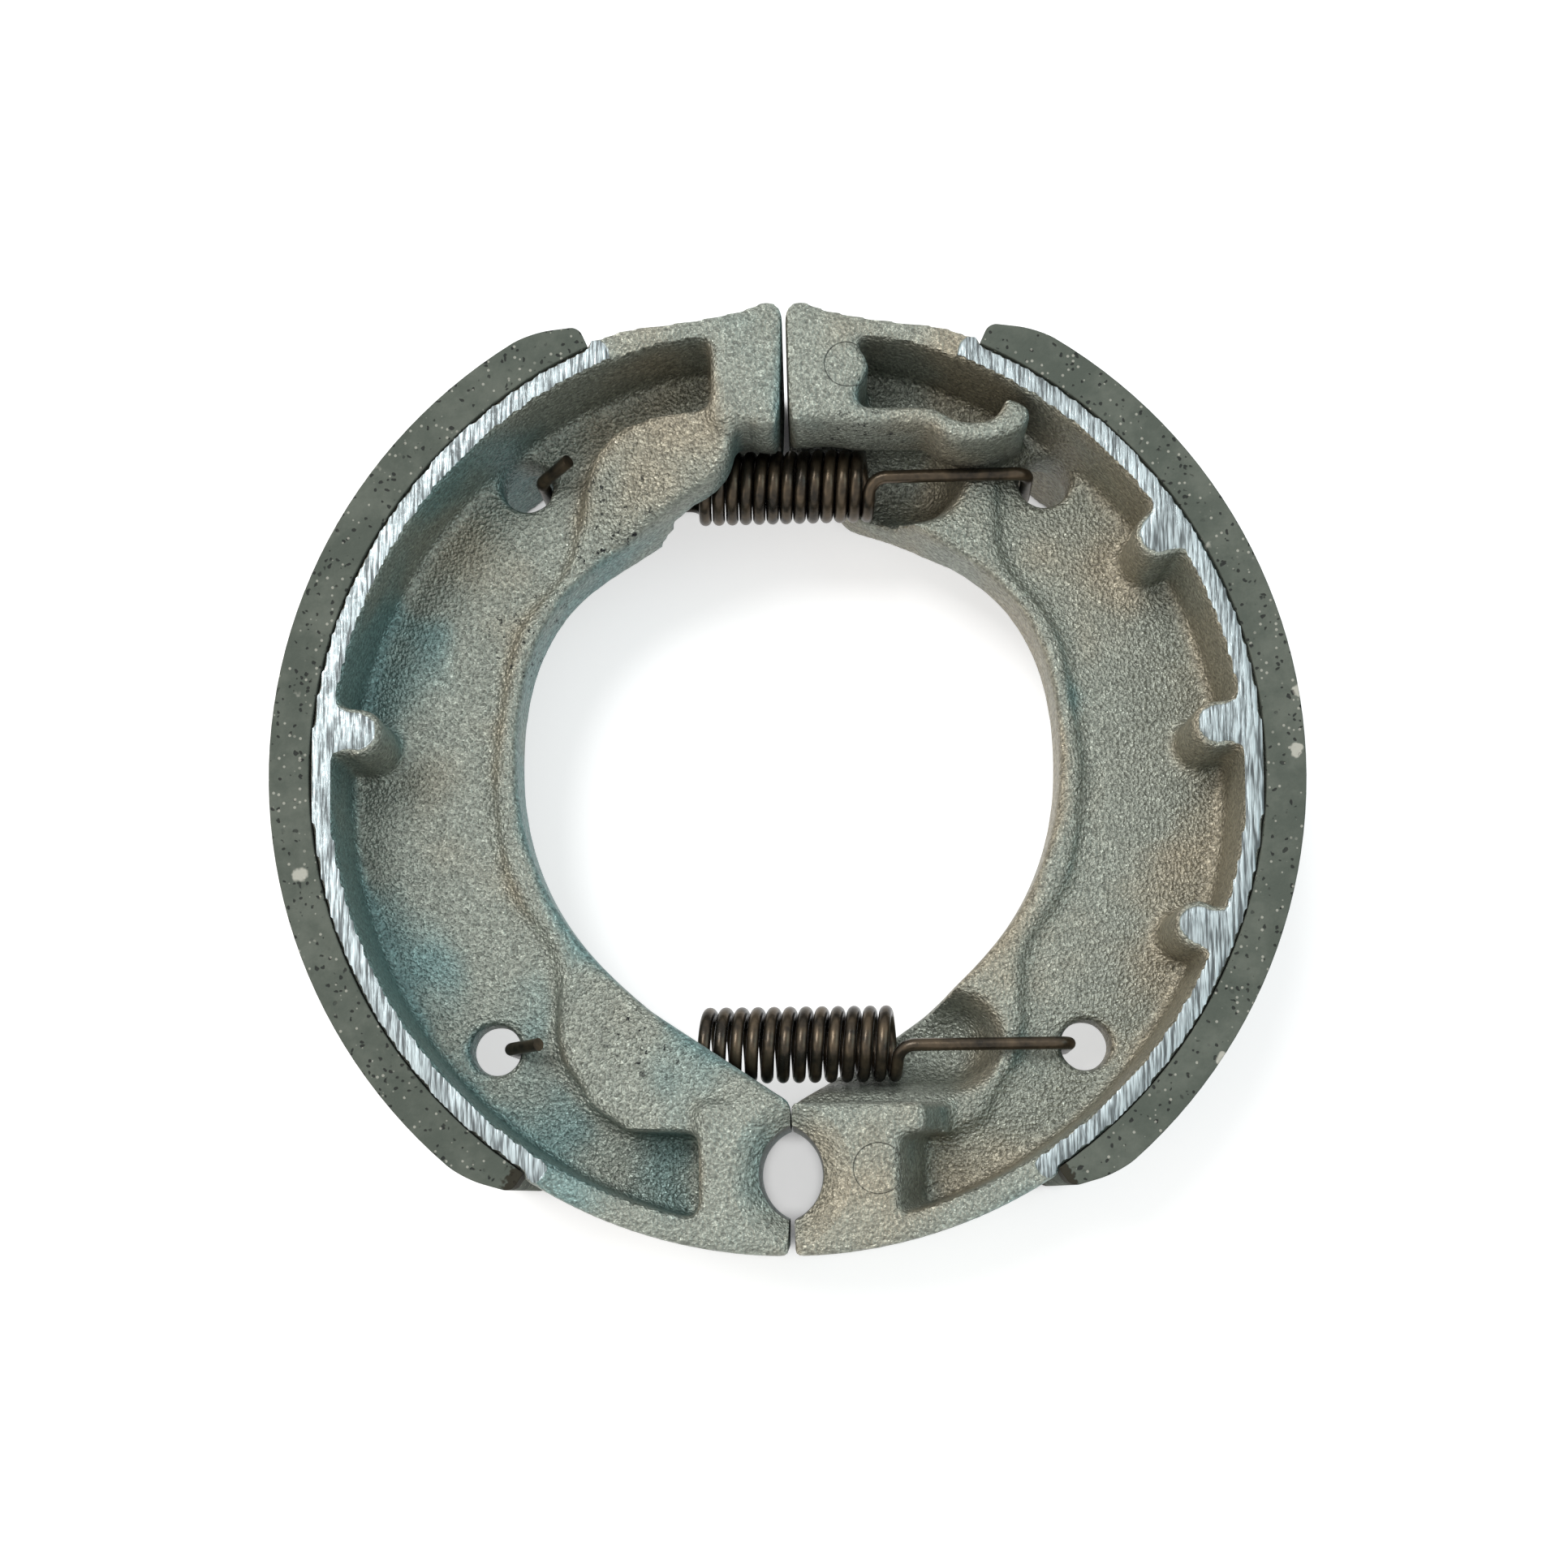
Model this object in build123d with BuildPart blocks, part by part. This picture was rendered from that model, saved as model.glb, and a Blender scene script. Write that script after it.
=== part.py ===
from build123d import *
from math import asin, atan2, cos, degrees, hypot, pi, radians, sin, sqrt
import os

# A set of two drum brake shoes, held together by two return springs.
# X points to the right shoe, Y from the anchor pin to the cam, Z along the wheel's axle.
# The origin is on the drum's axis, in the middle of the shoes' width.
# The left shoe is the right one turned half a turn about Y.
# Sizes are in millimetres, and angles in degrees from +X about the drum's axis.

# Friction lining
lining_radius = 54.5
lining_thickness = 4.2
lining_low_angle = -56.5
lining_high_angle = 65.5
lining_ramp_length = 5.0
lining_ramp_depth = 1.8
lining_edge_radius = 0.5
glue_line = 0.05

# Rim, web and inner band
shoe_width = 25.0
rim_thickness = 2.3
shoulder_height = 0.6
web_thickness = 5.0
pad_relief = 0.2
machined_margin = 2.0
band_rise = 1.2

# Cam end
cam_face_gap = 0.3
cam_face_lean = 0.38
cam_face_length = 10.5
cam_nose_radius = 1.7
cam_lip_radius = 1.6
cam_end_depth = 1.2
cam_pad_width = 7.9
arm_thickness = 2.1
pocket_corner_radius = 1.2

# Anchor end
anchor_pin_radius = 5.0
anchor_pin_clearance = 0.05
anchor_depth = 8.2
anchor_offset = 1.2
anchor_face_gap = 0.1
anchor_lip_relief = 0.16
anchor_wall = 2.2
anchor_bevel_width = 1.9
anchor_bevel_depth = 1.4
plain_pad_width = 9.7
spring_pad_width = 11.1
pad_slope_run = 3.5
pad_step = 2.8
strip_width = 3.3

# Ramps on the plain side, from the pads down to the inner band
ramp_start_drop = 1.0
upper_ramp_length = 17.0
lower_ramp_length = 22.0

# Pillars on the rim, and the round marks of the ejector pins
pillar_radius = 2.65
upper_pillar_depth = 3.55
upper_pillar_angle = 32.3
lower_pillar_depth = 4.3
lower_pillar_angle = -21.2
middle_pillar_depth = 4.9
middle_pillar_angle = 5.8
middle_neck_width = 5.0
cam_mark_radius = 2.2
anchor_mark_radius = 2.64
mark_depth = 0.12

# Spring holes
spring_hole_radius = 2.8
upper_hole_depth = 5.35
upper_hole_angle = 50.2
lower_hole_depth = 7.3
lower_hole_angle = -41.25

# Return springs
wire_diameter = 1.4
upper_coil_diameter = 7.9
lower_coil_diameter = 8.5
upper_coil_turns = 12
lower_coil_turns = 12
upper_coil_pitch = 1.52
lower_coil_pitch = 1.77
lower_coil_shift = 0.85
spring_lift = 0.45
spring_tilt = 2.4
arm_bend_radius = 2.0
hook_bend_radius = 1.5
hook_curl_radius = 1.2
hook_curl_angle = 50.0
hook_depth = 0.15
hook_tail_length = 4.2
upper_tail_swing = 20.0
lower_tail_swing = 4.0
hook_clearance = 0.05
trough_clearance = 0.35
trough_flare = 1.1
upper_trough_end = 14.5
lower_trough_end = 17.4

bond_radius = lining_radius - lining_thickness
rim_inner_radius = bond_radius - rim_thickness
shoulder_radius = bond_radius + shoulder_height
half_width = shoe_width / 2
pad_level = half_width - pad_relief
web_level = web_thickness / 2
band_level = web_level + band_rise
wire_radius = wire_diameter / 2


def rim_point(radius, angle):
    """Point on a circle about the drum's axis."""
    return (radius * cos(radians(angle)), radius * sin(radians(angle)))


def below_bond(depth, angle):
    """Point at a depth below the face that the lining is bonded to."""
    return rim_point(bond_radius - depth, angle)


# Cam end, worked out from the sizes above
cam_top_x = cam_face_gap / 2
cam_top_y = bond_radius - cam_end_depth
cam_bottom_x = cam_top_x + cam_face_lean
cam_bottom_y = cam_top_y - cam_face_length
nose_centre = (cam_top_x + cam_nose_radius, cam_top_y)
lip_centre = (cam_bottom_x + cam_lip_radius, cam_bottom_y)
pad_bottom_y = cam_bottom_y - 0.95
arm_line = [(-0.5, 70.3), (0.55, 78.4), (0.5, 84.8)]
arm_outside = [below_bond(depth, angle) for depth, angle in arm_line]
arm_inside = [below_bond(depth + arm_thickness, angle) for depth, angle in arm_line]

# Anchor end
anchor_radius = anchor_pin_radius + anchor_pin_clearance
anchor_face_x = anchor_face_gap / 2
anchor_centre = (-anchor_offset, anchor_depth - bond_radius)
anchor_pad_top = anchor_centre[1] + anchor_radius + anchor_wall
strip_bottom = anchor_pad_top - strip_width

# Places of the ejector pins' marks
cam_mark = (6.64, 43.8)
anchor_mark = (9.66, -41.7)

# Spring holes, springs and the troughs that clear their coils
upper_hole = below_bond(upper_hole_depth, upper_hole_angle)
lower_hole = below_bond(lower_hole_depth, lower_hole_angle)
upper_spring_y = upper_hole[1] + spring_lift
lower_spring_y = lower_hole[1] + spring_lift
upper_trough_radius = upper_coil_diameter / 2 + trough_clearance
lower_trough_radius = lower_coil_diameter / 2 + trough_clearance

# Edge of the shoe that faces the centre, from the cam end to the anchor end
inner_edge = [below_bond(depth, angle) for depth, angle in [
    (14.4, 80.8), (16.5, 77.5), (17.2, 72.0), (18.0, 58.3), (17.6, 45.3), (18.1, 31.0),
    (19.9, 11.4), (20.9, -5.9), (21.7, -27.0), (22.0, -48.4), (21.5, -59.1)]]

# Outer line of the inner band, which both sides share between the spring holes
band_line = [below_bond(depth, angle) for depth, angle in [
    (14.2, 49.8), (16.1, 40.6), (15.8, 34.2), (17.5, 17.8), (18.1, 3.6), (18.3, -9.4),
    (18.4, -22.1), (19.2, -32.2), (17.5, -39.8), (13.4, -46.9), (10.9, -54.4)]]

# Where that line goes on to the pads, on the spring side and on the plain side
spring_side_upper = [(band_line[0][0], pad_bottom_y)]
spring_side_lower = [below_bond(depth, angle) for depth, angle in [
    (8.4, -59.9), (8.4, -65.8), (9.8, -69.5), (10.2, -72.4)]]
plain_side_upper = [below_bond(depth, angle) for depth, angle in [
    (9.8, 78.7), (8.1, 69.8), (7.4, 65.0), (7.9, 61.0), (9.5, 57.7), (11.9, 54.0)]]
plain_side_lower = [below_bond(depth, angle) for depth, angle in [
    (9.4, -58.5), (8.9, -65.1), (11.0, -74.7)]]

# Where the ramps of the plain side start, and where they head for
upper_ramp_start = (8.0, 39.0)
upper_ramp_end = (22.0, 25.0)
lower_ramp_start = (10.0, -37.0)
lower_ramp_end = (25.0, -18.0)

# Both sides and the tip of the tongue, the curled rib beside the upper spring hole
tongue_upper_side = [below_bond(depth, angle) for depth, angle in [
    (8.2, 69.1), (8.15, 66.7), (8.3, 64.5), (7.9, 62.3), (7.2, 60.7), (6.1, 59.6), (5.0, 59.2),
    (3.8, 59.8)]]
tongue_lower_side = [below_bond(depth, angle) for depth, angle in [
    (10.2, 68.9), (10.3, 66.4), (10.4, 63.0), (9.6, 60.4), (8.3, 57.9), (6.6, 56.1), (5.0, 55.3),
    (3.7, 55.2)]]
tongue_tip = below_bond(3.3, 57.6)


def arc_about_axis(radius, start_angle, end_angle):
    """Arc about the drum's axis, drawn into the line in hand."""
    middle_angle = (start_angle + end_angle) / 2
    ThreePointArc(rim_point(radius, start_angle), rim_point(radius, middle_angle),
                  rim_point(radius, end_angle))


def plan_outline():
    """Plan of the casting, without the nose, the lip and the anchor notch."""
    low_end = lining_low_angle - 0.2
    high_end = lining_high_angle + 0.2
    heel_x = anchor_face_x + 2 * anchor_lip_relief
    heel_angle = degrees(asin(heel_x / shoulder_radius)) - 90
    with BuildLine() as outline:
        Polyline((cam_top_x, cam_top_y), (cam_bottom_x, cam_bottom_y),
                 below_bond(12.2, 82.1), inner_edge[0])
        Spline(*inner_edge)
        Polyline(inner_edge[-1], (anchor_face_x, anchor_pad_top),
                 (anchor_face_x, anchor_centre[1]),
                 (anchor_face_x + anchor_lip_relief, anchor_centre[1]),
                 rim_point(shoulder_radius, heel_angle))
        arc_about_axis(shoulder_radius, heel_angle, low_end)
        Line(rim_point(shoulder_radius, low_end), rim_point(bond_radius, low_end))
        arc_about_axis(bond_radius, low_end, high_end)
        Polyline(rim_point(bond_radius, high_end), rim_point(shoulder_radius, high_end),
                 *arm_outside, (cam_top_x, cam_top_y))
    make_face(outline.edges())


def pocket_area():
    """Half disc inside the rim."""
    Circle(rim_inner_radius)
    Rectangle(bond_radius, 2 * bond_radius, align=(Align.MAX, Align.CENTER), mode=Mode.SUBTRACT)


def band_outline(upper_points, lower_points, mode):
    """Area inside the band's outer line; it runs on over the open middle of the shoe."""
    with BuildLine() as outline:
        Polyline((0, lower_points[-1][1]), (0, upper_points[0][1]), *upper_points, band_line[0])
        Spline(*band_line)
        Polyline(band_line[-1], *lower_points, (0, lower_points[-1][1]))
    make_face(outline.edges(), mode=mode)


def cam_pad(mode):
    """Area of the pad that the cam pushes."""
    with Locations((0, pad_bottom_y)):
        Rectangle(cam_pad_width, bond_radius, align=(Align.MIN, Align.MIN), mode=mode)


def anchor_pad(width, mode):
    """Area of the pad around the anchor pin."""
    with Locations((0, anchor_pad_top)):
        Rectangle(width, bond_radius, align=(Align.MIN, Align.MAX), mode=mode)


def arm(mode):
    """Area of the arm that goes on from the rim to the cam pad."""
    with BuildLine() as outline:
        Polyline((0, arm_inside[-1][1]), *reversed(arm_inside), rim_point(rim_inner_radius, 60),
                 rim_point(2 * bond_radius, 60), (0, 2 * bond_radius), close=True)
    make_face(outline.edges(), mode=mode)


def middle_pillar(mode):
    """Pillar in the middle of the rim, with its neck."""
    with Locations(below_bond(middle_pillar_depth, middle_pillar_angle)):
        Circle(pillar_radius, mode=mode)
    with Locations(Location((*below_bond(0, middle_pillar_angle), 0), middle_pillar_angle)):
        Rectangle(2 * middle_pillar_depth, middle_neck_width, mode=mode)


def round_pillars(mode):
    """The two free pillars of the spring side."""
    with Locations(below_bond(upper_pillar_depth, upper_pillar_angle),
                   below_bond(lower_pillar_depth, lower_pillar_angle)):
        Circle(pillar_radius, mode=mode)


def tongue(mode):
    """The curled rib that leaves the cam pad."""
    upper_root = (cam_pad_width - 1, tongue_upper_side[0][1])
    lower_root = (cam_pad_width - 1, tongue_lower_side[0][1])
    with BuildLine() as outline:
        Line(upper_root, tongue_upper_side[0])
        Spline(*tongue_upper_side, tangents=[(1, 0), (0, 1)])
        ThreePointArc(tongue_upper_side[-1], tongue_tip, tongue_lower_side[-1])
        Spline(*reversed(tongue_lower_side), tangents=[(-1, -1), (-1, 0)])
        Polyline(tongue_lower_side[0], lower_root, upper_root)
    make_face(outline.edges(), mode=mode)


def ramp_plane(start, end, start_level, end_level, length):
    """Plane that sinks from one level to another over a length, on the plain side."""
    heading = Vector(end[0] - start[0], end[1] - start[1], 0).normalized()
    fall = atan2(start_level - end_level, length)
    downhill = heading * cos(fall) + Vector(0, 0, sin(fall))
    outward = heading * sin(fall) - Vector(0, 0, cos(fall))
    return Plane(origin=(*start, -start_level), x_dir=downhill, z_dir=outward)


def trough(spring_y, radius, end_x):
    """Cutter for the space around half a coil: a round-ended groove, flared at the top."""
    with BuildPart() as cutter:
        with Locations(Location((0, spring_y, 0), (0, 90, 0))):
            Cylinder(radius, end_x, align=(Align.CENTER, Align.CENTER, Align.MIN))
        with Locations((end_x, spring_y, 0)):
            Sphere(radius)
        with BuildSketch():
            with Locations((0, spring_y)):
                Rectangle(end_x, 2 * radius, align=(Align.MIN, Align.CENTER))
            with Locations((end_x, spring_y)):
                Circle(radius)
        extrude(amount=band_level, taper=-degrees(atan2(trough_flare, band_level)))
    return cutter.part


def ramp(start, end, length):
    """Body under the slope that sinks from a pad's level to the band's, on the plain side."""
    with BuildPart() as body:
        with BuildSketch(ramp_plane(start, end, pad_level - ramp_start_drop, band_level, length)):
            with Locations((length / 2, 0)):
                Rectangle(2 * length, 2 * length)
        extrude(amount=-length)
    return body.part


def pad_slope(top_x, foot_level, low_y, high_y):
    """Cutter for the sloping wall beside the anchor pad, on the spring side."""
    slope_height = pad_level - foot_level
    lean = pad_slope_run / slope_height
    with BuildPart() as cutter:
        with BuildSketch(Plane.XZ.offset(-high_y)):
            Polygon((top_x + pad_slope_run, foot_level), (top_x + pad_slope_run, half_width),
                    (top_x - lean * pad_relief, half_width), align=None)
        extrude(amount=high_y - low_y)
        Cylinder(rim_inner_radius, shoe_width, mode=Mode.INTERSECT)
    return cutter.part


def machined_relief():
    """Area that the face cutter left alone, a little below the rim's edge."""
    low_edge = lining_low_angle - machined_margin
    high_edge = lining_high_angle + machined_margin
    Circle(rim_inner_radius)
    Polygon((0, 0), rim_point(2 * bond_radius, high_edge), (0, 2 * bond_radius), align=None)
    Polygon((0, 0), (0, -2 * bond_radius), rim_point(2 * bond_radius, low_edge), align=None)
    middle_pillar(Mode.SUBTRACT)
    round_pillars(Mode.SUBTRACT)


def plain_side_cut():
    """Cutter above the band of the plain side; the ramps and the pads stay."""
    with BuildPart() as cutter:
        with BuildSketch(Plane.XY.offset(-band_level)):
            band_outline(plain_side_upper, plain_side_lower, Mode.ADD)
            cam_pad(Mode.SUBTRACT)
            anchor_pad(plain_pad_width, Mode.SUBTRACT)
        extrude(amount=-half_width)
        add(ramp(upper_ramp_start, upper_ramp_end, upper_ramp_length), mode=Mode.SUBTRACT)
        add(ramp(lower_ramp_start, lower_ramp_end, lower_ramp_length), mode=Mode.SUBTRACT)
    return cutter.part


def lining_profile():
    """Section of a lining: an arc with a ramp at each end."""
    ramp_angle = degrees(lining_ramp_length / lining_radius)
    inner_radius = bond_radius + glue_line
    end_radius = lining_radius - lining_ramp_depth
    with BuildLine() as outline:
        arc_about_axis(lining_radius, lining_low_angle + ramp_angle, lining_high_angle - ramp_angle)
        Polyline(rim_point(lining_radius, lining_high_angle - ramp_angle),
                 rim_point(end_radius, lining_high_angle), rim_point(inner_radius, lining_high_angle))
        arc_about_axis(inner_radius, lining_high_angle, lining_low_angle)
        Polyline(rim_point(inner_radius, lining_low_angle), rim_point(end_radius, lining_low_angle),
                 rim_point(lining_radius, lining_low_angle + ramp_angle))
    make_face(outline.edges())


def half_wire(coil_radius, pitch, coil_end, hook_x, tail_swing):
    """Wire from the coil's end to the tip of one hook, with the coil along X."""
    lead = atan2(pitch, 2 * pi * coil_radius)
    sweep_out = arm_bend_radius * (1 - sin(lead))
    leave = leave_angle(coil_radius, pitch)
    arm_z = sqrt(coil_radius ** 2 + sweep_out ** 2 - spring_lift ** 2)
    coil_point = (coil_end, -coil_radius * sin(leave), coil_radius * cos(leave))
    arm_start = (coil_end + arm_bend_radius * cos(lead), -spring_lift, arm_z)
    coil_heading = (sin(lead), cos(lead) * cos(leave), cos(lead) * sin(leave))
    curl = radians(hook_curl_angle)
    inward = Vector(-cos(radians(tail_swing)), sin(radians(tail_swing)), 0)
    curl_z = -(web_level + hook_depth) - hook_x * sin(radians(spring_tilt))
    bend_start = Vector(hook_x - hook_bend_radius, -spring_lift, arm_z)
    bend_end = Vector(hook_x, -spring_lift, arm_z - hook_bend_radius)
    curl_start = Vector(hook_x, -spring_lift, curl_z)
    curl_end = (curl_start + inward * hook_curl_radius * (1 - cos(curl))
                + Vector(0, 0, -hook_curl_radius * sin(curl)))
    tail_heading = inward * sin(curl) + Vector(0, 0, -cos(curl))
    with BuildLine(mode=Mode.PRIVATE) as wire:
        TangentArc(coil_point, arm_start, tangent=coil_heading)
        Line(arm_start, bend_start)
        TangentArc(bend_start, bend_end, tangent=(1, 0, 0))
        Line(bend_end, curl_start)
        TangentArc(curl_start, curl_end, tangent=(0, 0, -1))
        Line(curl_end, curl_end + tail_heading * hook_tail_length)
    return wire.line


def leave_angle(coil_radius, pitch):
    """Angle about the coil, from the top, at which the wire bends away from it."""
    lead = atan2(pitch, 2 * pi * coil_radius)
    sweep_out = arm_bend_radius * (1 - sin(lead))
    return atan2(sweep_out, coil_radius) + asin(spring_lift / hypot(coil_radius, sweep_out))


def spring_body(coil_diameter, turns, pitch, shift, hole, tail_swing):
    """Tension spring of round wire: a close coil, two arms and a hook at each end."""
    coil_radius = (coil_diameter - wire_diameter) / 2
    tilt = radians(spring_tilt)
    hook_x = (hole[0] - spring_hole_radius + wire_radius + hook_clearance
              + web_level * sin(tilt)) / cos(tilt)
    leave = degrees(leave_angle(coil_radius, pitch))
    coil_length = pitch * (turns + 0.5 - leave / 180)
    right_half = half_wire(coil_radius, pitch, coil_length / 2 + shift, hook_x, tail_swing)
    left_half = half_wire(coil_radius, pitch, coil_length / 2 - shift, hook_x, tail_swing)
    with BuildLine(mode=Mode.PRIVATE) as coil:
        Helix(pitch, coil_length, coil_radius, center=(shift - coil_length / 2, 0, 0),
              direction=(1, 0, 0), lefthand=True)
    turned_coil = coil.line.rotate(Axis.X, 180 - leave)
    with BuildPart() as spring:
        with BuildLine() as path:
            add(left_half.rotate(Axis.Y, 180))
            add(turned_coil)
            add(right_half)
        with BuildSketch(Plane(origin=path.line @ 0, z_dir=path.line % 0)):
            Circle(wire_radius)
        sweep(path=path.line)
    return spring.part.rotate(Axis.Y, -spring_tilt).moved(Location((0, hole[1] + spring_lift, 0)))


with BuildPart() as right_casting:
    with BuildSketch(Plane.XY.offset(-half_width)):
        plan_outline()
        with Locations(nose_centre):
            Circle(cam_nose_radius)
        with Locations(lip_centre):
            Circle(cam_lip_radius)
        with Locations(anchor_centre):
            Circle(anchor_radius, mode=Mode.SUBTRACT)
    extrude(amount=shoe_width)

    # Spring side: the pocket down to the web, then the inner band and the troughs of the coils
    with BuildSketch(Plane.XY.offset(web_level)):
        pocket_area()
        arm(Mode.SUBTRACT)
        cam_pad(Mode.SUBTRACT)
        anchor_pad(spring_pad_width + pad_slope_run, Mode.SUBTRACT)
        band_outline(spring_side_upper, spring_side_lower, Mode.SUBTRACT)
        tongue(Mode.SUBTRACT)
        middle_pillar(Mode.SUBTRACT)
        round_pillars(Mode.SUBTRACT)
    extrude(amount=half_width, mode=Mode.SUBTRACT)
    with BuildSketch(Plane.XY.offset(band_level)):
        band_outline(spring_side_upper, spring_side_lower, Mode.ADD)
        cam_pad(Mode.SUBTRACT)
        anchor_pad(spring_pad_width + pad_step + pad_slope_run, Mode.SUBTRACT)
        tongue(Mode.SUBTRACT)
    extrude(amount=half_width, mode=Mode.SUBTRACT)
    add(pad_slope(spring_pad_width, web_level, -bond_radius, strip_bottom), mode=Mode.SUBTRACT)
    add(pad_slope(spring_pad_width + pad_step, band_level, strip_bottom, anchor_pad_top + 1),
        mode=Mode.SUBTRACT)
    add(trough(upper_spring_y, upper_trough_radius, upper_trough_end), mode=Mode.SUBTRACT)
    add(trough(lower_spring_y, lower_trough_radius, lower_trough_end), mode=Mode.SUBTRACT)

    # Plain side: the pocket, then the ramps beside the pads and the band between them
    with BuildSketch(Plane.XY.offset(-web_level)):
        pocket_area()
        arm(Mode.SUBTRACT)
        cam_pad(Mode.SUBTRACT)
        anchor_pad(plain_pad_width, Mode.SUBTRACT)
        band_outline(plain_side_upper, plain_side_lower, Mode.SUBTRACT)
        middle_pillar(Mode.SUBTRACT)
    extrude(amount=-half_width, mode=Mode.SUBTRACT)
    add(plain_side_cut(), mode=Mode.SUBTRACT)

    # Machined faces, the anchor's bevels, the ejector pins' marks and the spring holes
    for side in (1, -1):
        with BuildSketch(Plane.XY.offset(side * pad_level)):
            machined_relief()
        extrude(amount=side * half_width, mode=Mode.SUBTRACT)
    with Locations((*anchor_centre, pad_level)):
        Cone(anchor_radius - anchor_bevel_width, anchor_radius + anchor_bevel_width,
             2 * anchor_bevel_depth, align=(Align.CENTER, Align.CENTER, Align.MAX),
             mode=Mode.SUBTRACT)
    with Locations((*anchor_centre, -pad_level)):
        Cone(anchor_radius + anchor_bevel_width, anchor_radius - anchor_bevel_width,
             2 * anchor_bevel_depth, align=(Align.CENTER, Align.CENTER, Align.MIN),
             mode=Mode.SUBTRACT)
    with BuildSketch(Plane.XY.offset(pad_level - mark_depth)):
        with Locations(cam_mark):
            Circle(cam_mark_radius)
        with Locations(anchor_mark):
            Circle(anchor_mark_radius)
    extrude(amount=half_width, mode=Mode.SUBTRACT)
    with Locations((*upper_hole, 0), (*lower_hole, 0)):
        Hole(spring_hole_radius, depth=shoe_width)

with BuildPart() as left_casting:
    add(right_casting.part, rotation=(0, 180, 0))

with BuildPart() as right_lining:
    with BuildSketch(Plane.XY.offset(-half_width)):
        lining_profile()
    extrude(amount=shoe_width)

with BuildPart() as left_lining:
    add(right_lining.part, rotation=(0, 180, 0))

with BuildPart() as upper_spring:
    add(spring_body(upper_coil_diameter, upper_coil_turns, upper_coil_pitch, 0,
                    upper_hole, upper_tail_swing))

with BuildPart() as lower_spring:
    add(spring_body(lower_coil_diameter, lower_coil_turns, lower_coil_pitch, lower_coil_shift,
                    lower_hole, lower_tail_swing))

os.makedirs("parts", exist_ok=True)
right_casting.part.label = "right_casting"
export_step(right_casting.part, "parts/right_casting.step")
left_casting.part.label = "left_casting"
export_step(left_casting.part, "parts/left_casting.step")
right_lining.part.label = "right_lining"
export_step(right_lining.part, "parts/right_lining.step")
left_lining.part.label = "left_lining"
export_step(left_lining.part, "parts/left_lining.step")
upper_spring.part.label = "upper_spring"
export_step(upper_spring.part, "parts/upper_spring.step")
lower_spring.part.label = "lower_spring"
export_step(lower_spring.part, "parts/lower_spring.step")
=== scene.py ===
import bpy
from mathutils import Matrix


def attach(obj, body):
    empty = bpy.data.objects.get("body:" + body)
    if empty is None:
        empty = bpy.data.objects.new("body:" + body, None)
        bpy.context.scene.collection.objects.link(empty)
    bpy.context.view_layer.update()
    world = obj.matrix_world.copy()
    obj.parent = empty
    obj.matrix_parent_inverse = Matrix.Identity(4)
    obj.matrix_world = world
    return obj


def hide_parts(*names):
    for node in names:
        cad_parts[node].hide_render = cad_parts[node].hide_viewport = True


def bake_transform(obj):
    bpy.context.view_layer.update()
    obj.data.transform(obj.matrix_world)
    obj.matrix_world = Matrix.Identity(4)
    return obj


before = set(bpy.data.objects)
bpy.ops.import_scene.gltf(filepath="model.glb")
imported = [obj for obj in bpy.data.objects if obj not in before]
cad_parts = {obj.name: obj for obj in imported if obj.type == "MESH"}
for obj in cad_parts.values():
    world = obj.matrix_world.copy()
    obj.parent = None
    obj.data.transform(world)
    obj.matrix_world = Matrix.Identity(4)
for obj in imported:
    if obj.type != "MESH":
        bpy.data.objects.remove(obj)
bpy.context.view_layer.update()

import logging
import math
from dataclasses import dataclass, field
from enum import Enum
from typing import Union

import bmesh
import bpy
import numpy as np
from mathutils import Matrix, Vector

# A pair of drum brake shoes with two return springs: their looks, studio and camera.

log = logging.getLogger("brake_shoes")

MM = 0.001
# How many rays a shader sends out to look for surfaces nearby.
LOOK_SAMPLES = 6
# Points of a mesh that lie closer than this, in metres, are one point.
WELD = 1e-6


class Side(Enum):
    """The two shoes. A shoe's value is the sign of X on its side."""

    RIGHT = 1
    LEFT = -1

    @property
    def word(self) -> str:
        """The side's name, as the nodes' names have it."""
        return self.name.lower()


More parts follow.
